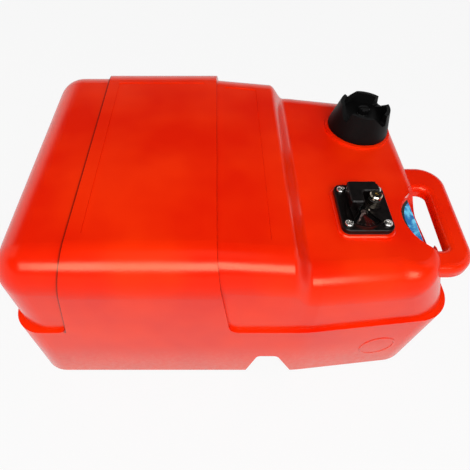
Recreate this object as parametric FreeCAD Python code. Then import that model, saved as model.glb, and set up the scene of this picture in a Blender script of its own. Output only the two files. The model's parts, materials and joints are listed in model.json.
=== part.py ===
import FreeCAD, Part
import math
import os

# Portable outboard fuel tank, about 25 litres, blow moulded, with a screw cap,
# a bolted pick-up head and a float gauge.  Millimetres, +Z up.
# X runs along the tank towards the carry handle, Y from front to back.

V = FreeCAD.Vector
Y_AXIS = V(0, 1, 0)
Z_AXIS = V(0, 0, 1)

# ---------------------------------------------------------------- tank, outside
HALF_LENGTH = 246.75       # centre to the left end, and centre to the handle's outer face
HALF_WIDTH = 175.0         # over the base and the saddle band
LEDGE_Z = 109.0            # top of the base tub
RECESS = 4.0               # how far the upper zones stand back from base and band
BAND_TOP = 219.0
BLOCK_TOP = BAND_TOP - RECESS
SHOULDER_R = 36.0          # rounding along the front and back of the raised block
WALL = 4.5
LEFT_WALL = 3.9            # blown a little thinner round the left end

LEFT_CORNER_R = 32.0       # upright corners at the left
LEFT_BALL_R = 36.0         # ball corners and top edges of the left end
RIGHT_CORNER_R = 40.0      # leaning corners at the right
LEDGE_RIGHT_X = 233.5      # right end of the base at the ledge
FLOOR_RIGHT_X = 221.0      # right end of the base at the floor
TAPER_X = 70.0             # the sides draw in from here towards the right
TAPER_DEG = 6.4
FLOOR_EDGE = 5.5           # bevel round the underside

BAND_LEFT = (-168.25, -187.25)  # band edge at its top and at the ledge
BAND_RIGHT = (-27.25, -12.25)
BAND_CORNER_R = 12.0

FALL_X = -36.0             # under the band, where the raised block starts to fall
BLOCK_RIGHT_X = 45.0       # the straight part of the raised block ends here
BLOCK_RIGHT_TOP = 207.0
BLOCK_DRAFT_DEG = 1.8      # the block's sides lean in upwards
STEP_TOP_X = 46.5
STEP_FOOT_X = 67.0
STEP_STRIPS = 11
DECK_X = 76.0              # the deck's straight part starts here
DECK_TOP = 184.4           # deck height at DECK_X
DECK_SLOPE_DEG = 2.6
DECK_RIGHT_X = 202.0       # upper right edge of the deck
DECK_SIDE_R = 33.0
DECK_END_R = 13.0
DECK_CORNER_R = 42.0
DECK_DRAFT_DEG = 3.0

PANEL_DEPTH = 0.8
PANEL_HALF_Y = 129.0

# ---------------------------------------------------------------- tank, features
CHANNEL_TOP = (21.5, 45)      # strap channel through the floor, in X
CHANNEL_FLOOR = (8.5, 68)
CHANNEL_HEIGHT = 48.0

HANDLE_FRONT_Y = -137.0
HANDLE_BACK_Y = 17.0
HANDLE_TOP_Z = 173.0
HANDLE_THICK = 19.0
HANDLE_BAR = 24.5
HANDLE_CORNER_R = 30.0
HANDLE_EDGE_R = 7.5
HANDLE_BEVEL = 5.0         # round the underside of handle and slot
HANDLE_LEAN_DEG = 3.2      # the bar's outer face swings out towards the back
SLOT_FRONT_Y = -110.0
SLOT_BACK_Y = -21.0
SLOT_LEFT_X = 195.0
SLOT_END_R = 8.5
NICHE_FLOOR_Z = 128.0      # the finger niche under the slot goes down to here

SCOOP_CENTRE = (225.0, -73.5)
SCOOP_R = 49.0
SCOOP_RIM_Z = 176.0        # height of the scoop's floor at its inner arc
SCOOP_SLOPE_DEG = 17.0
LABEL_MARGIN = 2.0
LABEL_THICK = 0.5

# ---------------------------------------------------------------- neck and cap
NECK_X = 157.7
NECK_Y = 82.0
NECK_TILT_DEG = 4.0
NECK_R = 31.0
NECK_BORE_R = 26.0
NECK_HEIGHT = 16.0
COLLAR_R = 42.0
COLLAR_HEIGHT = 2.5

CAP_R = 38.5
CAP_BOTTOM = 3.2
CAP_LIP = 3.0
CAP_TOP = 36.0
CAP_TOP_R = 31.0
CAP_SKIRT_BORE_R = 32.4
CAP_RECESS_R = 25.5        # recess inside the crown of lugs
CAP_PLATE = 3.0
LUGS = 4
LUG_DROP_DEG = 57.0        # where the first lug's steep face stands
LUG_FLAT_DEG = 52.0
LUG_RAMP_DEG = 27.0
LUG_VALLEY = 24.5
GASKET_THICK = 2.5
DISC_THICK = 2.0
TURN_PLAY = 0.05           # between faces that turn on each other

VENT_SHANK_R = 2.5
VENT_BORE_R = 2.58
VENT_KNOB_R = 7.0
VENT_KNOB_HEIGHT = 7.0
VENT_WASHER_THICK = 1.5
VENT_FLUTE_R = 1.5
VENT_SLOT = (1.6, 2.2)     # width and depth of the coin slot

# ---------------------------------------------------------------- pick-up head
HEAD_X = 130.7
HEAD_Y = -68.7
FLANGE_X = 54.0
FLANGE_Y = 67.0
FLANGE_R = 8.0
FLANGE_THICK = 5.0
PAD_Z = 185.6              # flat pad that the head is bolted to
PAD_MARGIN = 3.0
HEAD_GASKET_THICK = 2.0
SCREW_X = 20.0
SCREW_Y = 24.5
SCREW_SHANK_R = 2.5
SCREW_HEAD_R = 4.6
SCREW_HEAD_H = 3.2
SCREW_LENGTH = 16.0
INSERT_R = 4.4             # over the corners of the six-sided insert
INSERT_LENGTH = 15.0
BOSS_R = 7.5
MOUTH_R = 21.0             # hole in the deck under the head

FLANGE_Z = PAD_Z + HEAD_GASKET_THICK
FLANGE_TOP = FLANGE_Z + FLANGE_THICK

OUTLET_X = 140.7
OUTLET_Y = -66.0
OUTLET_R = 6.5
OUTLET_TOP = 209.0
TURRET_TOP = 205.0
TURRET_X = (114.5, 129.0, 148.5)    # left face, inner corner, right face
TURRET_Y = (-73.0, -56.5, -42.0)    # front of the left leg, inner corner, back face
STUB_R = 8.5               # plastic boss under the outlet
STUB_TOP = 195.0
TUBE_R = 4.5
TUBE_BORE_R = 3.2
TUBE_BOTTOM = 16.0

PIVOT_X = 127.7
PIVOT_Y = -79.0
GAUGE_R = 20.5
GAUGE_HALF_DEG = 38.0
GAUGE_SIDE_ROOM = 1.2      # the window's straight sides stand this far off the pivot
GAUGE_WALL = 2.2
GAUGE_TOP = 198.2
LENS_THICK = 1.6
SPINDLE_R = 1.5
SPINDLE_BORE_R = 1.56
VALVE_SEAT = 206.0
SPRING_LEDGE = 192.0

STRIP_WIDTH = 4.0
STRIP_THICK = 0.8
FLOAT_R = 16.0
FLOAT_HEIGHT = 28.0
FLOAT_X = 134.2
FLOAT_Y = -72.5
FLOAT_REST_Z = 28.0
FLOAT_TRAVEL = 112.0
POINTER_SWEEP_DEG = 62.0
GUIDE_THICK = 2.0
FOOT_TOP = FLOAT_REST_Z    # the empty tank's float rests on the bracket
FOOT_THICK = 4.0
SPIGOT_BOTTOM = 176.0      # underside of the head inside the tank

RIB_X = HEAD_X - 17.0      # middle of the A-shaped rib
RIB_Y = (HEAD_Y - 17.5, HEAD_Y + 8.0)
RIB_HALF = (4.6, 1.6)      # half widths at the front and at the back
RIB_WALL = 2.0
RIB_TOP = FLANGE_TOP + 2.4
DIAL_THICK = 0.5
DIAL_Z = FLANGE_TOP - 1.4  # the chamber's floor
HUB_R = 4.6                # round end of the window over the pivot
LENS_LEDGE = 1.1           # width of the ledge that carries the lens
NEEDLE_HALF = (1.5, 0.5)   # half widths at the hub and at the tip
NEEDLE_THICK = 0.9
NEEDLE_TAIL = 3.4
STRIP_PLAY = 0.25          # between the strip and the guide's slot
LOWER_PIVOT_R = 1.0
LOWER_BORE_R = 1.06        # bore of the lower bearing
GROOVE = (202.0, 203.6, 1.5)    # O-ring groove: bottom, top and depth
O_RING_R = 0.74            # a shade less than half the groove's depth
VALVE_CHAMBER_R = 3.0
OUTLET_BORE_R = (2.2, 2.0)      # below and above the valve chamber
PIN_R = (1.1, 2.75, 1.5)        # tail, disc and tip of the check pin
PIN_DISC = 3.0
STRAINER_WALL = 1.4
STRAINER_FLOOR = (8.0, 10.0)
STRAINER_SLIT = 2.8

# ---------------------------------------------------------------- room between pieces
GAP = 0.6                  # moulded pieces that don't touch
SCREW_ROOM = 0.3           # clearance holes
GUIDE_FIT = 0.08           # guide on the tube
DISC_FIT = 0.07            # sealing disc in the cap
THREAD_FIT = 0.03          # screw in its insert


# ================================================================ drawing helpers
def rounded_wire(points, radii):
    """Closed wire through points, each corner rounded to its radius (0 keeps it sharp)."""
    count = len(points)
    corners = []
    for i, (corner, radius) in enumerate(zip(points, radii)):
        if radius <= 0:
            corners.append((corner, corner, None))
            continue
        back = (points[i - 1] - corner).normalize()
        ahead = (points[(i + 1) % count] - corner).normalize()
        half = back.getAngle(ahead) / 2
        start = corner + back * (radius / math.tan(half))
        end = corner + ahead * (radius / math.tan(half))
        centre = corner + (back + ahead).normalize() * (radius / math.sin(half))
        middle = centre + (corner - centre).normalize() * radius
        corners.append((start, end, Part.Arc(start, middle, end).toShape()))
    edges = []
    for i, (start, end, arc) in enumerate(corners):
        if arc:
            edges.append(arc)
        following = corners[(i + 1) % count][0]
        if (following - end).Length > 1e-6:
            edges.append(Part.makeLine(end, following))
    return Part.Wire(edges)


def prism(wire, direction):
    """Solid that a closed flat wire sweeps along direction."""
    return Part.Face(wire).extrude(direction)


def plate(x_range, y_range, z_range, radius):
    """Block with upright corners rounded to radius."""
    x0, x1 = x_range
    y0, y1 = y_range
    z0, z1 = z_range
    corners = [V(x0, y0, z0), V(x1, y0, z0), V(x1, y1, z0), V(x0, y1, z0)]
    return prism(rounded_wire(corners, [radius] * 4), V(0, 0, z1 - z0))


def block(x_range, y_range, z_range):
    """Plain box from its ranges."""
    size = [r[1] - r[0] for r in (x_range, y_range, z_range)]
    return Part.makeBox(*size, V(x_range[0], y_range[0], z_range[0]))


def rod(x, y, z0, z1, radius):
    """Upright cylinder."""
    return Part.makeCylinder(radius, z1 - z0, V(x, y, z0))


def pipe(x, y, z0, z1, outer, inner):
    """Upright tube."""
    return rod(x, y, z0, z1, outer).cut(rod(x, y, z0 - 1, z1 + 1, inner))


def turned(profile):
    """Solid of revolution about Z from (radius, z) points."""
    points = [V(r, 0, z) for r, z in profile]
    face = Part.Face(Part.makePolygon(points + points[:1]))
    return face.revolve(V(0, 0, 0), Z_AXIS, 360)


def many_sided(x, y, z0, z1, radius, sides):
    """Upright prism with flat sides, radius over its corners."""
    corners = [V(x, y, z0) + V(radius, 0, 0)]
    for i in range(1, sides):
        angle = math.radians(360 * i / sides)
        corners.append(V(x + radius * math.cos(angle), y + radius * math.sin(angle), z0))
    return prism(Part.makePolygon(corners + corners[:1]), V(0, 0, z1 - z0))


def fuse_all(shapes):
    """Union with merged faces."""
    first, rest = shapes[0], shapes[1:]
    return first.fuse(rest).removeSplitter()


def save(name, shape):
    """One STEP file per piece."""
    shape.exportStep(os.path.join("parts", name + ".step"))


# ================================================================ tank body
def shave(solid, point, outward):
    """Cuts away what lies beyond the plane through point that faces outward."""
    reach = 1200.0
    tool = Part.makeBox(reach, reach, reach, V(-reach / 2, -reach / 2, 0))
    tool.Placement = FreeCAD.Placement(point, FreeCAD.Rotation(Z_AXIS, outward))
    return solid.cut(tool)


def side_normal(taper_deg, draft_deg, sign):
    """Outward direction of a side wall that draws in to the right and leans in upwards."""
    taper = math.radians(taper_deg)
    draft = math.radians(draft_deg)
    return V(math.sin(taper) * math.cos(draft), sign * math.cos(taper) * math.cos(draft), math.sin(draft))


def edges_where(solid, test):
    """Edges whose two ends both pass a test."""
    return [e for e in solid.Edges if len(e.Vertexes) == 2 and all(test(v.Point) for v in e.Vertexes)]


def upright_edges(solid, test):
    """Edges that climb, at places picked by a test on their middle."""
    found = []
    for edge in solid.Edges:
        box = edge.BoundBox
        if box.ZLength > 30 and test(box.Center):
            found.append(edge)
    return found


def base_tub(inset):
    """Lower half: upright sides, right end leaning in towards the floor."""
    half = HALF_WIDTH - inset
    left = -HALF_LENGTH + inset
    tub = block((left, 300), (-half, half), (inset, LEDGE_Z - inset))
    for sign in (-1, 1):
        tub = shave(tub, V(TAPER_X, sign * half, 0), side_normal(TAPER_DEG, 0, sign))
    lean = math.atan2(LEDGE_RIGHT_X - FLOOR_RIGHT_X, LEDGE_Z)
    tub = shave(tub, V(LEDGE_RIGHT_X - inset, 0, LEDGE_Z), V(math.cos(lean), 0, -math.sin(lean)))
    tub = tub.makeFillet(RIGHT_CORNER_R - inset, upright_edges(tub, lambda p: p.x > 150))
    tub = tub.makeFillet(LEFT_CORNER_R - inset, upright_edges(tub, lambda p: p.x < left + 1))
    tub = tub.makeFillet(150.0, upright_edges(tub, lambda p: abs(p.x - TAPER_X) < 1))
    if inset:
        return tub
    return tub.makeChamfer(FLOOR_EDGE, edges_where(tub, lambda p: p.z < 0.1))


def block_top(x):
    """Height of the raised block right of the band: it falls gently."""
    share = max(0.0, (x - FALL_X) / (BLOCK_RIGHT_X - FALL_X))
    return BLOCK_TOP + (BLOCK_RIGHT_TOP - BLOCK_TOP) * share


def deck_top(x):
    """Height of the sloping deck."""
    return DECK_TOP - (x - DECK_X) * math.tan(math.radians(DECK_SLOPE_DEG))


def left_block(inset, radius, bottom):
    """Left end of the raised part, rounded over with ball corners."""
    half = HALF_WIDTH - RECESS - inset
    left = -HALF_LENGTH + RECESS + inset
    body = block((left, FALL_X), (-half, half), (bottom, BLOCK_TOP - inset))
    rim = [e for e in body.Edges if e.BoundBox.XMin < FALL_X - 1 and e.BoundBox.ZMax > bottom + 1]
    return body.makeFillet(radius, rim)


def varied_fillet(body, rounding):
    """Fillet with a start and an end radius for each numbered edge."""
    document = FreeCAD.newDocument()
    source = document.addObject("Part::Feature", "source")
    source.Shape = body
    fillet = document.addObject("Part::Fillet", "fillet")
    fillet.Base = source
    fillet.Edges = rounding
    document.recompute()
    result = fillet.Shape.copy()
    FreeCAD.closeDocument(document.Name)
    return result


def middle_block(inset, bottom):
    """Raised part between band and step: its top falls and its sides lean in."""
    half = HALF_WIDTH - RECESS - inset
    left, right = FALL_X, BLOCK_RIGHT_X
    body = block((left, right), (-half - 5, half + 5), (bottom, BLOCK_TOP + 20))
    for sign in (-1, 1):
        body = shave(body, V(left, sign * half, LEDGE_Z), side_normal(0, BLOCK_DRAFT_DEG, sign))
    fall = math.atan2(BLOCK_TOP - BLOCK_RIGHT_TOP, right - left)
    body = shave(body, V(left, 0, BLOCK_TOP - inset), V(math.sin(fall), 0, math.cos(fall)))
    crown = [e for e in body.Edges if e.BoundBox.ZMin > BLOCK_RIGHT_TOP - inset - 1 and e.BoundBox.XLength > 10]
    return body.makeFillet(SHOULDER_R - inset, crown)


def deck(inset, bottom):
    """Lower deck: drafted sides drawn in to the right, sloping top, leaning end."""
    half = HALF_WIDTH - RECESS - inset
    body = block((DECK_X, 300), (-half - 5, half + 5), (bottom, 260))
    for sign in (-1, 1):
        foot = V(TAPER_X, sign * half, LEDGE_Z)
        body = shave(body, foot, side_normal(TAPER_DEG, DECK_DRAFT_DEG, sign))
    end_x = LEDGE_RIGHT_X - RECESS
    lean = math.atan2(end_x - DECK_RIGHT_X, deck_top(DECK_RIGHT_X) - LEDGE_Z)
    body = shave(body, V(end_x - inset, 0, LEDGE_Z), V(math.cos(lean), 0, math.sin(lean)))
    slope = math.radians(DECK_SLOPE_DEG)
    body = shave(body, V(DECK_X, 0, deck_top(DECK_X) - inset), V(math.sin(slope), 0, math.cos(slope)))
    if inset:
        return plain_crown(body, inset, end_x, lean)
    body = body.makeFillet(DECK_CORNER_R, upright_edges(body, lambda p: p.x > 150))
    rounding = []
    for number, edge in enumerate(body.Edges, 1):
        ends = sorted((v.Point for v in edge.Vertexes), key=lambda p: -p.y)
        on_top = all(abs(p.z - deck_top(p.x)) < 0.5 for p in ends)
        if on_top and edge.BoundBox.XMax > DECK_X + 1:
            radii = [DECK_SIDE_R if abs(p.y) > 135 else DECK_END_R for p in ends]
            rounding.append((number, radii[0], radii[1]))
    return varied_fillet(body, rounding)


def plain_crown(body, inset, end_x, lean):
    """Inside of the deck: corners cut off flat, one radius all round."""
    corner_y = HALF_WIDTH - RECESS - inset - (end_x - TAPER_X) * math.tan(math.radians(TAPER_DEG))
    cut_back = (DECK_CORNER_R - inset) * 0.52
    for sign in (-1, 1):
        outward = V(1, sign, math.tan(lean)).normalize()
        body = shave(body, V(end_x - inset, sign * corner_y, LEDGE_Z) - outward * cut_back, outward)
    crown = []
    for edge in body.Edges:
        ends = [v.Point for v in edge.Vertexes]
        on_top = all(abs(p.z - deck_top(p.x) + inset) < 0.5 for p in ends)
        if on_top and edge.BoundBox.XMax > DECK_X + 1:
            crown.append(edge)
    return body.makeFillet(DECK_SIDE_R - inset, crown)


def arch(x, foot_y, wall_y, top, radius, bottom):
    """Cross-section at x: sides from foot_y leaning to wall_y, round shoulders, flat top."""
    centre_z = top - radius
    draft = math.atan2(foot_y - wall_y, centre_z - bottom)
    centre_y = foot_y - (radius - math.sin(draft) * (bottom - centre_z)) / math.cos(draft)
    edges = [Part.makeLine(V(x, -centre_y, top), V(x, centre_y, top))]
    mid_angle = (draft + math.pi / 2) / 2
    side = V(x, centre_y + radius * math.cos(draft), centre_z + radius * math.sin(draft))
    middle = V(x, centre_y + radius * math.cos(mid_angle), centre_z + radius * math.sin(mid_angle))
    mirrored = [V(x, -p.y, p.z) for p in (side, middle)]
    edges.append(Part.Arc(V(x, centre_y, top), middle, side).toShape())
    edges.append(Part.makeLine(side, V(x, foot_y, bottom)))
    edges.append(Part.makeLine(V(x, foot_y, bottom), V(x, -foot_y, bottom)))
    edges.append(Part.makeLine(V(x, -foot_y, bottom), mirrored[0]))
    edges.append(Part.Arc(mirrored[0], mirrored[1], V(x, -centre_y, top)).toShape())
    return Part.Wire(edges)


def step(inset, bottom, block_solid, deck_solid):
    """Step from the raised block down to the deck, its height easing along an S curve."""
    x0, x1 = BLOCK_RIGHT_X, DECK_X
    start = [f for f in block_solid.Faces if f.BoundBox.XMin > x0 - 0.01][0]
    end = [f for f in deck_solid.Faces if f.BoundBox.XMax < x1 + 0.01][0]
    foot0, foot1 = start.BoundBox.YMax, end.BoundBox.YMax
    lean0 = (block_top(x0) - SHOULDER_R - bottom) * math.tan(math.radians(BLOCK_DRAFT_DEG))
    lean1 = (deck_top(x1) - DECK_SIDE_R - bottom) * math.tan(math.radians(DECK_DRAFT_DEG))
    strips = 5 if inset else STEP_STRIPS
    sections = [start.OuterWire]
    for i in range(strips + 1):
        share = i / strips
        x = STEP_TOP_X + (STEP_FOOT_X - STEP_TOP_X) * share
        ease = share * share * (3 - 2 * share)
        high = block_top(x)
        top = high + (deck_top(x) - high) * ease - inset
        radius = SHOULDER_R + (DECK_SIDE_R - SHOULDER_R) * ease - inset
        foot = foot0 + (foot1 - foot0) * (x - x0) / (x1 - x0)
        sections.append(arch(x, foot, foot - lean0 - (lean1 - lean0) * ease, top, radius, bottom))
    sections.append(end.OuterWire)
    return Part.makeLoft(sections, True, True)


def upper_body(inset):
    """Everything above the ledge except the band."""
    bottom = LEDGE_Z - 12.0
    left = left_block(0, LEFT_BALL_R, bottom)
    if inset:
        left = left_block(LEFT_WALL, SHOULDER_R - LEFT_WALL, bottom)
    middle = middle_block(inset, bottom)
    right = deck(inset, bottom)
    return [left, middle, step(inset, bottom, middle, right), right]


def band(inset):
    """Saddle band over the raised block, flush with the base and flaring down into it."""
    half = HALF_WIDTH - inset
    top = BAND_TOP - inset
    radius = SHOULDER_R + RECESS - inset
    left, right = BAND_LEFT[1] - 26, BAND_RIGHT[1] + 26
    low = LEDGE_Z - inset
    saddle = block((left, right), (-half, half), (low - 20, top))
    crown = [e for e in saddle.Edges if e.BoundBox.ZMin > top - 1 and e.BoundBox.XLength > 50]
    saddle = saddle.makeFillet(radius, crown)
    outline = [
        V(left - 5, -300, low - 40),
        V(right + 5, -300, low - 40),
        V(right + 5, -300, low),
        V(BAND_RIGHT[1] - inset, -300, low),
        V(BAND_RIGHT[0] - inset, -300, top + 5),
        V(BAND_LEFT[0] + inset, -300, top + 5),
        V(BAND_LEFT[1] + inset, -300, low),
        V(left - 5, -300, low),
    ]
    corner = BAND_CORNER_R
    stencil = prism(rounded_wire(outline, [0, 0, 0, corner, 0, 0, corner, 0]), V(0, 600, 0))
    return saddle.common(stencil)


def channel(grow):
    """Strap channel across the floor, its mouth eased into the underside."""
    low = -30.0
    top = CHANNEL_HEIGHT + grow
    corners = [
        V(CHANNEL_FLOOR[0] - 30, -200, low),
        V(CHANNEL_FLOOR[0] - 30, -200, 0),
        V(CHANNEL_FLOOR[0] - grow, -200, 0),
        V(CHANNEL_TOP[0] - grow, -200, top),
        V(CHANNEL_TOP[1] + grow, -200, top),
        V(CHANNEL_FLOOR[1] + grow, -200, 0),
        V(CHANNEL_FLOOR[1] + 30, -200, 0),
        V(CHANNEL_FLOOR[1] + 30, -200, low),
    ]
    return prism(rounded_wire(corners, [0, 0, 9, 6, 8, 9, 0, 0]), V(0, 400, 0))


def handle():
    """Carry handle: a rounded loop standing out of the right end."""
    low = HANDLE_TOP_Z - HANDLE_THICK
    left = SLOT_LEFT_X - 14
    lean = math.radians(HANDLE_LEAN_DEG)
    touch_x = HALF_LENGTH - HANDLE_CORNER_R * (1 - math.cos(lean))
    touch_y = HANDLE_BACK_Y - HANDLE_CORNER_R * (1 + math.sin(lean))
    back_x = touch_x + (HANDLE_BACK_Y - touch_y) * math.tan(lean)
    front_x = touch_x + (HANDLE_FRONT_Y - touch_y) * math.tan(lean)
    corners = [
        V(left, HANDLE_FRONT_Y, low),
        V(front_x, HANDLE_FRONT_Y, low),
        V(back_x, HANDLE_BACK_Y, low),
        V(left, HANDLE_BACK_Y, low),
    ]
    outline = rounded_wire(corners, [0, HANDLE_CORNER_R, HANDLE_CORNER_R, 0])
    loop = prism(outline, V(0, 0, HANDLE_THICK)).cut(slot(0.0, low - 10, HANDLE_TOP_Z + 10))
    rims = [e for e in loop.Edges if e.BoundBox.ZLength < 0.1 and e.BoundBox.XMax > SLOT_LEFT_X + 1]
    loop = loop.makeFillet(HANDLE_EDGE_R, [e for e in rims if e.BoundBox.ZMin > low + 1])
    under = [e for e in loop.Edges if e.BoundBox.ZMax < low + 0.1 and e.BoundBox.XMax > SLOT_LEFT_X + 1]
    return loop.makeChamfer(HANDLE_BEVEL, under)


def slot(grow, low, high):
    """Finger slot between the handle's bar and the tank."""
    swing = (SLOT_BACK_Y - SLOT_FRONT_Y) * math.tan(math.radians(HANDLE_LEAN_DEG))
    left = SLOT_LEFT_X - grow
    right = HALF_LENGTH - HANDLE_BAR + grow
    corners = [
        V(left, SLOT_FRONT_Y - grow, low - grow),
        V(right - swing, SLOT_FRONT_Y - grow, low - grow),
        V(right, SLOT_BACK_Y + grow, low - grow),
        V(left, SLOT_BACK_Y + grow, low - grow),
    ]
    return prism(rounded_wire(corners, [SLOT_END_R + grow] * 4), V(0, 0, high - low + grow))


def scoop(grow):
    """Half-moon scoop in the deck's edge: upright arc wall, floor falling to the slot."""
    x, y = SCOOP_CENTRE
    tool = rod(x, y, 100, 260, SCOOP_R + grow)
    inner_x = x - SCOOP_R
    fall = math.tan(math.radians(SCOOP_SLOPE_DEG))
    low = SCOOP_RIM_Z - grow
    x0, x1 = inner_x - 10, inner_x + 24
    below = [
        V(x0, -200, low + 10 * fall),
        V(x1, -200, low - 24 * fall),
        V(x1, -200, 300),
        V(x0, -200, 300),
    ]
    return tool.common(prism(Part.makePolygon(below + below[:1]), V(0, 400, 0)))


def on_neck(shape):
    """Moves a shape drawn about Z onto the tilted neck axis."""
    placed = shape.copy()
    placed.rotate(V(0, 0, 0), Y_AXIS, NECK_TILT_DEG)
    placed.translate(V(NECK_X, NECK_Y, deck_top(NECK_X)))
    return placed


def screw_places():
    """Centres of the four head screws."""
    return [(HEAD_X + sx * SCREW_X, HEAD_Y + sy * SCREW_Y) for sx in (-1, 1) for sy in (-1, 1)]


def head_pad():
    """Flat raised pad under the head."""
    x, y = FLANGE_X / 2 + PAD_MARGIN, FLANGE_Y / 2 + PAD_MARGIN
    pad = plate((HEAD_X - x, HEAD_X + x), (HEAD_Y - y, HEAD_Y + y), (PAD_Z - 12, PAD_Z), FLANGE_R + PAD_MARGIN)
    rim = [e for e in pad.Edges if e.BoundBox.ZMin > PAD_Z - 0.1]
    return pad.makeChamfer(1.2, rim)


def top_panels():
    """Two shallow panels sunk in the band and in the block beside it."""
    on_band = plate(
        (BAND_LEFT[0] + 14, BAND_RIGHT[0] - 14),
        (-PANEL_HALF_Y, PANEL_HALF_Y),
        (BAND_TOP - PANEL_DEPTH, BAND_TOP + 5),
        4,
    )
    on_block = plate((-16, 26), (-PANEL_HALF_Y, PANEL_HALF_Y), (0, 10), 4)
    slope = math.degrees(math.atan2(BLOCK_TOP - BLOCK_RIGHT_TOP, BLOCK_RIGHT_X - FALL_X))
    on_block.rotate(V(0, 0, 0), Y_AXIS, slope)
    on_block.translate(V(0, 0, block_top(0) - PANEL_DEPTH))
    return [on_band, on_block]


def tank_outside():
    """Outer form with handle, pad, neck and the cut-outs seen from outside."""
    form = fuse_all([base_tub(0.0), band(0.0)] + upper_body(0.0))
    neck = turned([(0, -12), (COLLAR_R + 1.5, -12), (COLLAR_R, COLLAR_HEIGHT), (NECK_R, COLLAR_HEIGHT),
                   (NECK_R, NECK_HEIGHT), (0, NECK_HEIGHT)])
    form = fuse_all([form, handle(), head_pad(), on_neck(neck)])
    niche = slot(0.0, NICHE_FLOOR_Z, BAND_TOP)
    return form.cut([channel(0.0), scoop(0.0), niche] + top_panels())


def tank_cavity():
    """Fuel space: the outer form set in by the wall, less what hangs into it."""
    room = fuse_all([base_tub(WALL)] + upper_body(WALL))
    bosses = [rod(x, y, PAD_Z - INSERT_LENGTH - 4, PAD_Z, BOSS_R) for x, y in screw_places()]
    niche = slot(WALL, NICHE_FLOOR_Z, BAND_TOP)
    return room.cut([channel(WALL), scoop(WALL), niche] + bosses)


def tank_body():
    """Blow-moulded tank: one hollow shell with handle, neck and bolted mouth."""
    shell = tank_outside().cut(tank_cavity())
    neck_bore = on_neck(rod(0, 0, -15, NECK_HEIGHT + 5, NECK_BORE_R))
    mouth = rod(HEAD_X, HEAD_Y, PAD_Z - 15, PAD_Z + 5, MOUTH_R)
    low = PAD_Z - INSERT_LENGTH
    holes = [many_sided(x, y, low, PAD_Z + 5, INSERT_R, 6) for x, y in screw_places()]
    return shell.cut([neck_bore, mouth] + holes)


def recess_label():
    """Thin half-moon label lying on the scoop's floor."""
    x, y = SCOOP_CENTRE
    fall = math.tan(math.radians(SCOOP_SLOPE_DEG))
    inner_x = x - SCOOP_R
    low = SCOOP_RIM_Z
    x0, x1 = inner_x + LABEL_MARGIN, SLOT_LEFT_X - LABEL_MARGIN / 2
    z0, z1 = low - LABEL_MARGIN * fall, low - (x1 - inner_x) * fall
    side = [V(x0, -200, z0), V(x1, -200, z1), V(x1, -200, z1 + LABEL_THICK), V(x0, -200, z0 + LABEL_THICK)]
    sheet = prism(Part.makePolygon(side + side[:1]), V(0, 400, 0))
    return sheet.common(rod(x, y, 100, 260, SCOOP_R - LABEL_MARGIN))


# ================================================================ filler cap
def cap_gasket():
    """Flat ring that seals on the neck's rim."""
    low = NECK_HEIGHT
    return on_neck(pipe(0, 0, low, low + GASKET_THICK, NECK_R - GAP, NECK_BORE_R))


def seal_disc():
    """Disc between gasket and cap, so that the turning cap doesn't drag the gasket."""
    low = NECK_HEIGHT + GASKET_THICK
    high = low + DISC_THICK - TURN_PLAY
    return on_neck(pipe(0, 0, low, high, CAP_SKIRT_BORE_R - DISC_FIT, VENT_BORE_R + GAP))


def plate_top():
    """Height of the cap's inner floor above the deck, along the neck."""
    return NECK_HEIGHT + GASKET_THICK + DISC_THICK + CAP_PLATE


def lug_gap():
    """Cutter for one gap of the crown: a ramp down to a valley, then a steep face."""
    mid_r = (CAP_TOP_R + CAP_RECESS_R) / 2
    gap = math.radians(360 / LUGS - LUG_FLAT_DEG) * mid_r
    ramp = math.radians(LUG_RAMP_DEG) * mid_r
    corners = [
        V(12, -gap / 2, CAP_TOP + 1),
        V(12, -gap / 2, CAP_TOP - 0.5),
        V(12, -gap / 2 + ramp, LUG_VALLEY),
        V(12, gap / 2, LUG_VALLEY),
        V(12, gap / 2, CAP_TOP + 1),
    ]
    return prism(rounded_wire(corners, [0, 0, 3.0, 2.0, 0]), V(40, 0, 0))


def filler_cap():
    """Screw cap: tapered skirt, floor and a crown of four saw-tooth grip lugs."""
    low = NECK_HEIGHT + GASKET_THICK + DISC_THICK
    body = turned([
        (CAP_R, CAP_BOTTOM),
        (CAP_R, CAP_BOTTOM + CAP_LIP),
        (CAP_TOP_R, CAP_TOP),
        (CAP_RECESS_R + 1, CAP_TOP),
        (CAP_RECESS_R, plate_top()),
        (VENT_BORE_R, plate_top()),
        (VENT_BORE_R, low),
        (CAP_SKIRT_BORE_R, low),
        (CAP_SKIRT_BORE_R, CAP_BOTTOM),
    ])
    gaps = []
    for lug in range(LUGS):
        gap = lug_gap()
        middle = LUG_DROP_DEG + (LUG_FLAT_DEG + 360 / LUGS) / 2 + lug * 360 / LUGS
        gap.rotate(V(0, 0, 0), Z_AXIS, middle)
        gaps.append(gap)
    return on_neck(body.cut(gaps))


def vent_washer():
    """Rubber washer under the vent screw's knob."""
    low = plate_top()
    high = low + VENT_WASHER_THICK - TURN_PLAY
    return on_neck(pipe(0, 0, low, high, VENT_KNOB_R - GAP, VENT_SHANK_R + SCREW_ROOM))


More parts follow.
